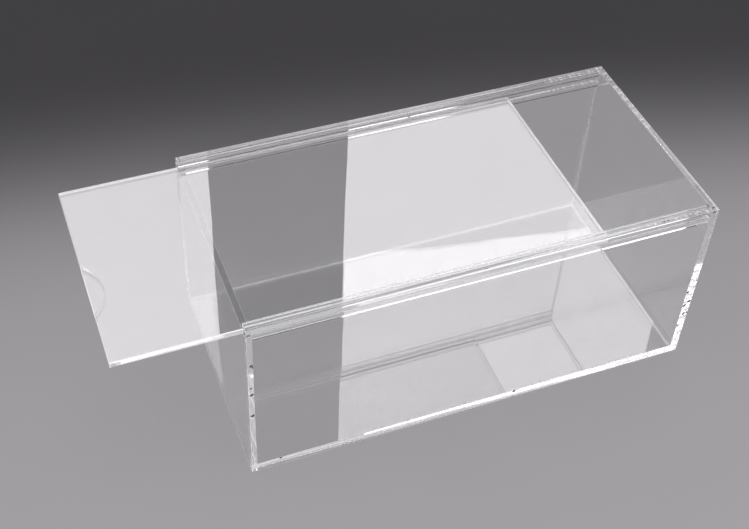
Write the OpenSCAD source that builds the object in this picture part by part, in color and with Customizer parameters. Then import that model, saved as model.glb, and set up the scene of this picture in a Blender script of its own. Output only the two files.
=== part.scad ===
// Clear acrylic box with a lid that slides in rails, drawn with the lid part way out.
// X runs along the box, Y from front to back, Z up. The origin is the middle of the
// box's underside, and the lid pulls out over the lower wall at the left end.

/* [Box] */
// Outside length of the box
box_l = 302; // [200:1:420]
// Outside width of the box, front to back
box_w = 152; // [110:1:240]
// Outside height of the box
box_h = 132; // [60:1:220]
// Thickness of the four walls
wall_t = 4; // [3:0.5:8]
// Thickness of the base panel
base_t = 4; // [3:0.5:8]
// Thickness of the cement line in each glued joint
bond_t = 0.04; // [0.02:0.01:0.1]

/* [Rails] */
// How far the rails stand in from the long walls
rail_w = 3; // [2:0.5:6]
// Height of the upper rails, which keep the lid down
upper_rail_h = 3; // [2:0.5:6]
// Height of the lower rails, which carry the lid
lower_rail_h = 4; // [2:0.5:8]

/* [Lid] */
// Thickness of the lid
lid_t = 4; // [3:0.5:6]
// Play between the lid and the rails above and below it
lid_play_z = 0.25; // [0.15:0.05:0.5]
// Play between each long edge of the lid and the wall beside it
lid_play_y = 1.25; // [0.25:0.25:1.5]
// Gap that is left at the right end wall when the lid is shut
lid_stop_gap = 0.5; // [0.3:0.1:2]
// How far the shut lid stands out past the left end wall
lid_overhang = 4.5; // [0:0.5:12]
// How far the lid is pulled out from shut
lid_pull = 70; // [0:1:120]
// Bevel along the lid's edges
lid_bevel = 0.4; // [0.1:0.1:0.8]

/* [Finger recess] */
// Radius of the recess's round side
grip_r = 25; // [16:1:40]
// How far the recess reaches in from the lid's left edge
grip_reach = 9.5; // [5:0.5:14]
// Depth of the recess in the lid's top face
grip_depth = 2; // [0.5:0.25:2.5]
// How far the recess lies in front of the lid's centre line
grip_offset = 14.5; // [0:0.5:25]

/* [Hidden] */
$fn = 96;

// Half sizes of the box, outside and inside its walls
half_l = box_l / 2;
half_w = box_w / 2;
inner_half_l = half_l - wall_t;
inner_half_w = half_w - wall_t;

// The slot that the lid slides in, and the heights of its two sides
slot_h = lid_t + 2 * lid_play_z;
slot_top = box_h - upper_rail_h;
slot_floor = slot_top - slot_h;

// The lid reaches from the right end wall, when it is shut, to past the left one
lid_l = half_l + inner_half_l - lid_stop_gap + lid_overhang;
lid_w = 2 * (inner_half_w - lid_play_y);
lid_left = -half_l - lid_overhang - lid_pull;

// How far the recess's cutter stands clear of the faces that it cuts through
cut_over = 1;

clear_wall = [0.80, 0.84, 0.86];
clear_base = [0.72, 0.77, 0.80];
clear_rail = [0.90, 0.92, 0.93];
clear_lid = [0.93, 0.95, 0.97];

// A block between two opposite corners
module block(low, high) {
    translate(low)
        cube(high - low);
}

// A wall along the whole of one long side, in front for side -1 and behind for side 1
module long_wall(side) {
    color(clear_wall)
        block([-half_l, side > 0 ? inner_half_w : -half_w, 0],
              [half_l, side > 0 ? half_w : -inner_half_w, box_h]);
}

// A wall across one end, between the long walls, at the left for side -1
module end_wall(side, height) {
    reach = inner_half_w - bond_t;
    color(clear_wall)
        block([side > 0 ? inner_half_l : -half_l, -reach, 0],
              [side > 0 ? half_l : -inner_half_l, reach, height]);
}

// A rail on the inner face of one long wall, from one end and height to another
module rail(side, left, right, low, high) {
    near = inner_half_w - bond_t;
    far = near - rail_w;
    color(clear_rail)
        block([left, side > 0 ? far : -near, low],
              [right, side > 0 ? near : -far, high]);
}

module base_panel() {
    reach = [inner_half_l - bond_t, inner_half_w - bond_t];
    color(clear_base)
        block([-reach.x, -reach.y, 0], [reach.x, reach.y, base_t]);
}

module front_wall() {
    long_wall(-1);
}

module back_wall() {
    long_wall(1);
}

// The left end wall stops level with the lower rails, and the lid slides out over it
module left_end_wall() {
    end_wall(-1, slot_floor);
}

module right_end_wall() {
    end_wall(1, box_h);
}

// The lower rails lie between the two end walls
module lower_rail(side) {
    reach = inner_half_l - bond_t;
    rail(side, -reach, reach, slot_floor - lower_rail_h, slot_floor);
}

// The upper rails start flush with the open end
module upper_rail(side) {
    rail(side, -half_l, inner_half_l - bond_t, slot_top, box_h);
}

// A rectangle about the origin whose four corners are cut off at 45 degrees
module bevelled_rectangle(width, height, bevel) {
    x = width / 2;
    y = height / 2;
    polygon([
        [-x + bevel, -y], [x - bevel, -y], [x, -y + bevel], [x, y - bevel],
        [x - bevel, y], [-x + bevel, y], [-x, y - bevel], [-x, -y + bevel]
    ]);
}

// A plate about the origin with a bevel along each of its twelve edges
module bevelled_plate(length, width, thickness, bevel) {
    intersection() {
        translate([0, 0, -thickness / 2])
            linear_extrude(thickness)
                bevelled_rectangle(length, width, bevel);
        translate([-length / 2, 0, 0])
            rotate([90, 0, 90])
                linear_extrude(length)
                    bevelled_rectangle(width, thickness, bevel);
        translate([0, width / 2, 0])
            rotate([90, 0, 0])
                linear_extrude(width)
                    bevelled_rectangle(length, thickness, bevel);
    }
}

// The half moon that the lid is pulled out by, cut into its top face at the left edge
module finger_recess() {
    translate([lid_left + grip_reach - grip_r, -grip_offset,
               slot_floor + lid_play_z + lid_t - grip_depth])
        cylinder(h = grip_depth + cut_over, r = grip_r);
}

module lid() {
    color(clear_lid)
        difference() {
            translate([lid_left + lid_l / 2, 0, slot_floor + lid_play_z + lid_t / 2])
                bevelled_plate(lid_l, lid_w, lid_t, lid_bevel);
            finger_recess();
        }
}

base_panel();
front_wall();
back_wall();
left_end_wall();
right_end_wall();
lower_rail(-1);  // front_lower_rail
lower_rail(1);  // back_lower_rail
upper_rail(-1);  // front_upper_rail
upper_rail(1);  // back_upper_rail
lid();
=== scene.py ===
"""A clear acrylic box with a sliding lid, part-way open on a pale floor under soft studio light."""

import math

import bpy
from mathutils import Matrix, Vector


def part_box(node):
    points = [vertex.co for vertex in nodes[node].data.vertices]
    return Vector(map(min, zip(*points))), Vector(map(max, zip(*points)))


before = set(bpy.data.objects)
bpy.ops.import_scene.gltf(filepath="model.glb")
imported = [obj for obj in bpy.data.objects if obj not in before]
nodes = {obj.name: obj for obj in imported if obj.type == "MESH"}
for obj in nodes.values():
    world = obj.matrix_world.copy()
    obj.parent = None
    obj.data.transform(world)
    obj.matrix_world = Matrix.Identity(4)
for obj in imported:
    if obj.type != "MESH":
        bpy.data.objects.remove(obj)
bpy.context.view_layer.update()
scene = bpy.context.scene

MM = 0.001

# Clear sheet. The lid and the base mirror the studio more strongly than the walls
ACRYLIC_IOR = 1.49
CLEARNESS = 0.99
SHADOW_CLEARNESS = 0.985
MIRRORING = {"lid": 3.5, "base_panel": 3.5}
WALL_MIRRORING = 1.0

# A face is a cut edge if its normal has less than CUT_LEAN along the axis that the sheet is thin along,
# and a chamfer if its normal has less than CHAMFER_LEAN along every axis
CUT_LEAN = 0.5
CHAMFER_LEAN = 0.98

# Slow waves in the sheet, and fine saw marks on its cut edges
WAVES = {"Scale": 20.0, "Detail": 0.5}
WAVE_HEIGHT = 0.05 * MM
SAW_MARKS = {"Scale": 600.0, "Detail": 3.0}
SAW_HEIGHT = 0.001 * MM

# Handling marks, and how rough the surface is
GRIME = {"Scale": 22.0, "Detail": 6.0, "Roughness": 0.6}
FILM_RANGE = (0.45, 0.75)
FILM_ROUGHNESS = 0.01
CUT_ROUGHNESS = 0.02

# The low end wall's top edge is rougher than the other cut edges, and carries painted shade that makes it
# darker
SAWN_WALL = "left_end_wall"
SAWN_LEAN = 0.5
SAWN_ROUGHNESS = 0.45
SAWN_PAINTED_SHADE = 0.58

# White frost: on the film, on cut edges by their grime, and on chamfers by how far they face up or down
FROST_WHITE = (0.93, 0.92, 0.935, 1)
FROST_THROUGH = 0.35
FILM_FROST = 0.015
CUT_GRIME = (0.3, 0.7)
CUT_FROST = {"lid": (0.3, 0.4)}
WALL_CUT_FROST = (0.0, 0.07)
CHAMFER_LEANS = (0.1, 0.3)
CHAMFER_FROST = (0.25, 0.8)

# Cemented joints: faces closer than GLUE_REACH are cemented, and the base's joints are the cloudiest
GLUE_REACH = 0.12 * MM
CLOUD_HEIGHTS = (4 * MM, 6 * MM)
CLOUD = (0.16, 0.04)

# Air bubbles lie on two crossed slants, in so many cells a metre. They are common at the front and on
# the middle heights, rare elsewhere. Their grey is painted shade at the front and painted light at the back
RISING_CELLS = 150.0
FALLING_CELLS = 230.0
BUBBLE_HEIGHT = 55 * MM
AWAY_FROM_HEIGHT = (35 * MM, 55 * MM)
AWAY_RARITY = (0.0, 0.99)
BUBBLE_DEPTHS = (-70 * MM, 0.0)
DEPTH_RARITY = (0.5, 0.995)
LARGEST_BUBBLE = 0.3
GREY_DEPTHS = (-30 * MM, 30 * MM)
BUBBLE_SHADE_AND_LIGHT = (0.04, 0.9)
BUBBLE_COVER = 0.95


def grey(value):
    return (value, value, value, 1)


class Look:
    """A node material in the making. Sockets of one node feed another, or are set to plain values."""

    def __init__(self, name):
        self.material = bpy.data.materials.new(name)
        self.material.use_nodes = True
        self.tree = self.material.node_tree
        self.tree.nodes.clear()
        self.output = self.tree.nodes.new("ShaderNodeOutputMaterial")

    def node(self, kind, settings=None, **inputs):
        """A new node. Its inputs are given by name, with an underscore for each space."""
        made = self.tree.nodes.new(kind)
        for key, value in (settings or {}).items():
            setattr(made, key, value)
        for key, value in inputs.items():
            self.feed(made.inputs[key.replace("_", " ")], value)
        return made

    def feed(self, socket, value):
        if isinstance(value, bpy.types.NodeSocket):
            self.tree.links.new(value, socket)
        else:
            socket.default_value = value

    def maths(self, operation, *values):
        made = self.tree.nodes.new("ShaderNodeMath")
        made.operation = operation
        for socket, value in zip(made.inputs, values):
            self.feed(socket, value)
        return made.outputs[0]

    def ramp(self, value, low, high, to_low=0.0, to_high=1.0):
        """value's stretch from low to high, eased and carried to another stretch."""
        made = self.node("ShaderNodeMapRange", {"interpolation_type": "SMOOTHSTEP"})
        for socket, given in zip(made.inputs, (value, low, high, to_low, to_high)):
            self.feed(socket, given)
        return made.outputs[0]

    def mix(self, share, first, second):
        made = self.tree.nodes.new("ShaderNodeMixShader")
        self.feed(made.inputs[0], share)
        self.tree.links.new(first, made.inputs[1])
        self.tree.links.new(second, made.inputs[2])
        return made.outputs[0]

    def between(self, share, first, second):
        """A colour on the way from the first colour to the second."""
        made = self.node("ShaderNodeMix", {"data_type": "RGBA"})
        sockets = {socket.identifier: socket for socket in (*made.inputs, *made.outputs)}
        self.feed(sockets["Factor_Float"], share)
        self.feed(sockets["A_Color"], first)
        self.feed(sockets["B_Color"], second)
        return sockets["Result_Color"]

    def finish(self, shader):
        self.tree.links.new(shader, self.output.inputs["Surface"])
        return self.material


def thin_axis(name):
    """The axis that a sheet or strip is thinnest along. Y goes first where two are alike."""
    low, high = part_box(name)
    thickness = {axis: round((high[i] - low[i]) / MM, 2) for i, axis in enumerate("XYZ")}
    return min("YXZ", key=thickness.get)


def cemented(name):
    """The pieces whose faces lie against this one's. The lid has none, because its play is wider."""
    low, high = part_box(name)
    found = []
    for other in nodes:
        other_low, other_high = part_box(other)
        shared = [min(high[i], other_high[i]) - max(low[i], other_low[i]) for i in range(3)]
        closest, next_closest, _ = sorted(shared)
        if other != name and closest > -GLUE_REACH and next_closest > GLUE_REACH:
            found.append(other)
    return found


def cemented_area(look, place, name):
    """1 where the surface lies against a piece that this one is cemented to, and 0 elsewhere."""
    total = None
    for other in cemented(name):
        low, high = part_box(other)
        inside = None
        for axis in range(3):
            middle = (low[axis] + high[axis]) / 2
            reach = (high[axis] - low[axis]) / 2 + GLUE_REACH
            test = look.maths("COMPARE", place[axis], middle, reach)
            inside = test if inside is None else look.maths("MULTIPLY", inside, test)
        total = inside if total is None else look.maths("MAXIMUM", total, inside)
    return total


def bubbles(look, place):
    """1 inside the slanted air bubbles of a cemented joint, and 0 elsewhere."""
    across = look.maths("ADD", place["X"], place["Y"])
    rising = look.maths("MULTIPLY", look.maths("ADD", across, place["Z"]), RISING_CELLS)
    falling = look.maths("MULTIPLY", look.maths("SUBTRACT", across, place["Z"]), FALLING_CELLS)
    plane = look.node("ShaderNodeCombineXYZ", X=rising, Y=falling)
    cells = look.node("ShaderNodeTexVoronoi", {"voronoi_dimensions": "2D"}, Scale=1.0,
                      Vector=plane.outputs[0])
    chance = look.node("ShaderNodeSeparateColor", Color=cells.outputs["Color"]).outputs[0]
    away = look.maths("ABSOLUTE", look.maths("SUBTRACT", place["Z"], BUBBLE_HEIGHT))
    rarity = look.maths("MAXIMUM", look.ramp(place["Y"], *BUBBLE_DEPTHS, *DEPTH_RARITY),
                        look.ramp(away, *AWAY_FROM_HEIGHT, *AWAY_RARITY))
    size = look.ramp(chance, rarity, 1.0, 0.0, LARGEST_BUBBLE)
    return look.maths("GREATER_THAN", size, cells.outputs["Distance"])


def relief(look, spot, cut):
    """The normal of a wavy sheet with saw marks where it is cut."""
    waves = look.node("ShaderNodeTexNoise", Vector=spot, **WAVES).outputs["Fac"]
    wavy = look.node("ShaderNodeBump", Height=waves, Strength=1.0, Distance=WAVE_HEIGHT)
    marks = look.node("ShaderNodeTexNoise", Vector=spot, **SAW_MARKS).outputs["Fac"]
    marked = look.node("ShaderNodeBump", Height=marks, Strength=cut, Distance=SAW_HEIGHT,
                       Normal=wavy.outputs["Normal"])
    return marked.outputs["Normal"]


def frost_shader(look):
    """White light, scattered back from the surface and partly through it."""
    back = look.node("ShaderNodeBsdfDiffuse", Color=FROST_WHITE)
    through = look.node("ShaderNodeBsdfTranslucent", Color=FROST_WHITE)
    return look.mix(FROST_THROUGH, back.outputs[0], through.outputs[0])


def with_joints(look, place, name, sheet, frost):
    """The sheet with its cemented faces, which let light straight through but for cloud and bubbles."""
    glued = cemented_area(look, place, name)
    clear = look.node("ShaderNodeBsdfTransparent", Color=grey(1.0))
    cloud = look.ramp(place["Z"], *CLOUD_HEIGHTS, *CLOUD)
    jointed = look.mix(glued, sheet, look.mix(cloud, clear.outputs[0], frost))
    # Bubbles are a grey diffuse: painted shade at the front, painted light at the back
    inside = look.node("ShaderNodeBsdfDiffuse", Color=look.ramp(place["Y"], *GREY_DEPTHS, *BUBBLE_SHADE_AND_LIGHT))
    bubble = look.maths("MULTIPLY", bubbles(look, place), glued)
    return look.mix(look.maths("MULTIPLY", bubble, BUBBLE_COVER), jointed, inside.outputs[0])


def acrylic(name):
    """The clear acrylic of one piece."""
    look = Look("acrylic_" + name)
    coords = look.node("ShaderNodeTexCoord")
    spot = coords.outputs["Object"]
    place = look.node("ShaderNodeSeparateXYZ", Vector=spot).outputs
    facing = look.node("ShaderNodeSeparateXYZ", Vector=coords.outputs["Normal"]).outputs
    leans = {axis: look.maths("ABSOLUTE", facing[axis]) for axis in "XYZ"}
    cut = look.maths("LESS_THAN", leans[thin_axis(name)], CUT_LEAN)
    squarest = look.maths("MAXIMUM", look.maths("MAXIMUM", leans["X"], leans["Y"]), leans["Z"])
    chamfer = look.maths("LESS_THAN", squarest, CHAMFER_LEAN)
    grime = look.node("ShaderNodeTexNoise", Vector=spot, **GRIME).outputs["Fac"]
    film = look.ramp(grime, *FILM_RANGE)

    rough = look.maths("MULTIPLY_ADD", cut, CUT_ROUGHNESS, look.maths("MULTIPLY", film, FILM_ROUGHNESS))
    clear = look.node("ShaderNodeBsdfPrincipled", IOR=ACRYLIC_IOR, Transmission_Weight=1.0,
                      Base_Color=grey(CLEARNESS), Specular_Tint=grey(MIRRORING.get(name, WALL_MIRRORING)),
                      Normal=relief(look, spot, cut))
    if name == SAWN_WALL:
        sawn = look.maths("GREATER_THAN", facing["Z"], SAWN_LEAN)
        rough = look.maths("MULTIPLY_ADD", sawn, SAWN_ROUGHNESS, rough)
        # Painted shade: the top edge's base colour is darkened
        look.feed(clear.inputs["Base Color"], look.maths("MULTIPLY_ADD", sawn, -SAWN_PAINTED_SHADE, CLEARNESS))
    look.feed(clear.inputs["Roughness"], rough)

    frost = frost_shader(look)
    cut_frost = look.ramp(grime, *CUT_GRIME, *CUT_FROST.get(name, WALL_CUT_FROST))
    face_veil = look.maths("MULTIPLY_ADD", cut, cut_frost, look.maths("MULTIPLY", film, FILM_FROST))
    chamfer_frost = look.ramp(leans["Z"], *CHAMFER_LEANS, *CHAMFER_FROST)
    veil = look.maths("MAXIMUM", face_veil, look.maths("MULTIPLY", chamfer, chamfer_frost))
    sheet = look.mix(veil, clear.outputs[0], frost)
    if cemented(name):
        sheet = with_joints(look, place, name, sheet, frost)

    path = look.node("ShaderNodeLightPath")
    shadow = look.node("ShaderNodeBsdfTransparent", Color=grey(SHADOW_CLEARNESS))
    return look.finish(look.mix(path.outputs["Is Shadow Ray"], sheet, shadow.outputs[0]))


# Every piece keeps its shape, with its edges a little chamfered
WELD_REACH = 0.001 * MM
BEVEL = 0.2 * MM
BEVEL_STEPS = 2
for name, node in nodes.items():
    node.data.materials.clear()
    node.data.materials.append(acrylic(name))
    weld = node.modifiers.new("weld", "WELD")
    weld.merge_threshold = WELD_REACH
    bevel = node.modifiers.new("bevel", "BEVEL")
    bevel.width = BEVEL
    bevel.segments = BEVEL_STEPS
    bevel.limit_method = "ANGLE"


def quad(name, corners, material):
    """A flat four-cornered piece of the stage."""
    mesh = bpy.data.meshes.new(name)
    mesh.from_pydata(corners, [], [list(range(len(corners)))])
    mesh.materials.append(material)
    made = bpy.data.objects.new(name, mesh)
    scene.collection.objects.link(made)
    return made


# Pale floor, just under the box
FLOOR_Z = -0.2 * MM
FLOOR_REACH = 8.0
FLOOR_CORNERS = [(-FLOOR_REACH, -FLOOR_REACH, FLOOR_Z), (FLOOR_REACH, -FLOOR_REACH, FLOOR_Z),
                 (FLOOR_REACH, FLOOR_REACH, FLOOR_Z), (-FLOOR_REACH, FLOOR_REACH, FLOOR_Z)]
MOTTLE = {"Scale": 9.0, "Detail": 3.0}
FLOOR_DARK = (0.369, 0.358, 0.374, 1)
FLOOR_LIGHT = (0.391, 0.379, 0.396, 1)
FLOOR_ROUGHNESS = 0.9
FLOOR_GLOSS = 0.1


def pale_floor():
    look = Look("pale_floor")
    spot = look.node("ShaderNodeTexCoord").outputs["Object"]
    mottle = look.node("ShaderNodeTexNoise", Vector=spot, **MOTTLE).outputs["Fac"]
    tone = look.between(mottle, FLOOR_DARK, FLOOR_LIGHT)
    paper = look.node("ShaderNodeBsdfPrincipled", Roughness=FLOOR_ROUGHNESS, Specular_IOR_Level=FLOOR_GLOSS,
                      Base_Color=tone)
    return look.finish(paper.outputs[0])


floor = quad("floor", FLOOR_CORNERS, pale_floor())
floor.visible_transmission = False
floor.visible_glossy = False

# The floor as it is seen through the sheet or mirrored in it: a glow in place of the lit floor, evenly
# bright, with painted light that fades a little behind as the key light's pool does
EVEN_COLOUR = (1.0, 0.972, 1.013, 1)
EVEN_SLANT = 0.4
EVEN_DEPTHS = (-0.1, 0.25)
EVEN_STRENGTHS = (0.365, 0.29)


def even_glow():
    look = Look("even_floor")
    spot = look.node("ShaderNodeTexCoord").outputs["Object"]
    ground = look.node("ShaderNodeSeparateXYZ", Vector=spot).outputs
    depth = look.maths("MULTIPLY_ADD", ground["X"], EVEN_SLANT, ground["Y"])
    # Painted light: the floor's glow, a little dimmer behind
    light = look.node("ShaderNodeEmission", Color=EVEN_COLOUR,
                      Strength=look.ramp(depth, *EVEN_DEPTHS, *EVEN_STRENGTHS))
    material = look.finish(light.outputs[0])
    material.cycles.emission_sampling = "NONE"
    return material


even_floor = quad("even_floor", FLOOR_CORNERS, even_glow())
even_floor.visible_camera = False
even_floor.visible_diffuse = False
even_floor.visible_shadow = False

# White cards that the sheet mirrors. The two behind the box stand on one slanted line
CARD_COLOUR = (1.0, 0.975, 1.01, 1)
BACK_HEIGHTS = (0.6, 1.7)
BACK_STRENGTH = 1.8
BACK_Y = 0.649
BACK_SLANT = 0.171
RIGHT_CARD = (0.176, 0.671)
LEFT_CARD = (-1.2, 0.001)
# Dimmer cards in front of the box and at its sides
FILL_HEIGHTS = (0.5, 1.9)
FILL_STRENGTH = 0.8
FRONT_Y = -1.3
FRONT_ENDS = (-1.4, 1.4)
LEFT_X = -1.4
LEFT_ENDS = (-1.2, 0.7)
RIGHT_X = 1.7
RIGHT_ENDS = (-1.2, 0.3)


def card(name, start, end, heights, strength):
    """An upright card over the line from start to end, seen only in mirror images and through the sheet."""
    look = Look(name + "_light")
    light = look.node("ShaderNodeEmission", Color=CARD_COLOUR, Strength=strength)
    low, high = heights
    corners = [(*start, low), (*end, low), (*end, high), (*start, high)]
    made = quad(name, corners, look.finish(light.outputs[0]))
    made.visible_diffuse = False
    made.visible_camera = False
    made.visible_shadow = False


def back_card(name, ends):
    start, end = ((x, BACK_Y - x * BACK_SLANT) for x in ends)
    card(name, start, end, BACK_HEIGHTS, BACK_STRENGTH)


def fill_card(name, start, end):
    card(name, start, end, FILL_HEIGHTS, FILL_STRENGTH)


back_card("right_card", RIGHT_CARD)
back_card("left_card", LEFT_CARD)
fill_card("front_card", (FRONT_ENDS[0], FRONT_Y), (FRONT_ENDS[1], FRONT_Y))
fill_card("side_card_left", (LEFT_X, LEFT_ENDS[0]), (LEFT_X, LEFT_ENDS[1]))
fill_card("side_card_right", (RIGHT_X, RIGHT_ENDS[0]), (RIGHT_X, RIGHT_ENDS[1]))


def lamp(name, kind, energy, **settings):
    """A light that brightens rough surfaces but isn't itself mirrored in the sheet."""
    data = bpy.data.lights.new(name, kind)
    data.energy = energy
    for key, value in settings.items():
        setattr(data, key, value)
    made = bpy.data.objects.new(name, data)
    scene.collection.objects.link(made)
    made.visible_glossy = False
    made.visible_transmission = False
    return made


# Key light over a point in front of the box, pointing straight down. The rim of its pool of light
# crosses the floor behind the box
KEY_WATTS = 739.0
KEY_PLACE = (-0.588, -3.0, 2.5)
KEY_CONE = math.radians(106.3)
KEY_BLEND = 0.06
KEY_RADIUS = 0.05
key = lamp("key", "SPOT", KEY_WATTS, spot_size=KEY_CONE, spot_blend=KEY_BLEND, shadow_soft_size=KEY_RADIUS)
key.location = KEY_PLACE

# Rim light from behind on the right, so low that it all but misses the floor and catches the chamfers
RIM_STRENGTH = 7.0
RIM_SPREAD = math.radians(2)
RIM_FROM = Vector((0.75, 0.65, 0.02))
rim = lamp("rim", "SUN", RIM_STRENGTH, angle=RIM_SPREAD)
rim.rotation_euler = RIM_FROM.to_track_quat("Z", "Y").to_euler()

# Dim light from all round
STUDIO_COLOUR = (0.088, 0.086, 0.089, 1)
world = bpy.data.worlds.new("studio")
scene.world = world
world.use_nodes = True
world.node_tree.nodes["Background"].inputs["Color"].default_value = STUDIO_COLOUR

# Camera, with the photograph's width, focal length and off-centre middle in its pixels
IMAGE_W = 749
FOCAL_PX = 1259.375
MIDDLE_RIGHT_PX = 13.144
MIDDLE_DOWN_PX = 36.644
SENSOR = 36.0
CAMERA_PLACE = Vector((-265.67, -515.01, 655.86)) * MM
AZIMUTH = math.radians(22.342)
ELEVATION = math.radians(44.403)
ROLL = math.radians(2.516)
CLIP_START = 0.01
CLIP_END = 50.0


def camera_turn():
    ahead = Vector((math.sin(AZIMUTH) * math.cos(ELEVATION), math.cos(AZIMUTH) * math.cos(ELEVATION),
                    -math.sin(ELEVATION)))
    level = ahead.cross(Vector((0, 0, 1))).normalized()
    upright = level.cross(ahead)
    right = level * math.cos(ROLL) + upright * math.sin(ROLL)
    up = upright * math.cos(ROLL) - level * math.sin(ROLL)
    return Matrix((right, up, -ahead)).transposed().to_4x4()


camera_data = bpy.data.cameras.new("camera")
camera_data.sensor_width = SENSOR
camera_data.lens = FOCAL_PX / IMAGE_W * SENSOR
camera_data.shift_x = MIDDLE_RIGHT_PX / IMAGE_W
camera_data.shift_y = -MIDDLE_DOWN_PX / IMAGE_W
camera_data.clip_start = CLIP_START
camera_data.clip_end = CLIP_END
camera = bpy.data.objects.new("camera", camera_data)
scene.collection.objects.link(camera)
camera.matrix_world = Matrix.Translation(CAMERA_PLACE) @ camera_turn()
scene.camera = camera

# Light crosses many faces of the sheet on its way
BOUNCES = {
    "max_bounces": 40,
    "transmission_bounces": 40,
    "glossy_bounces": 24,
    "transparent_max_bounces": 60,
}
for setting, count in BOUNCES.items():
    setattr(scene.cycles, setting, count)
scene.cycles.caustics_reflective = False
scene.cycles.caustics_refractive = False
scene.view_settings.view_transform = "Standard"
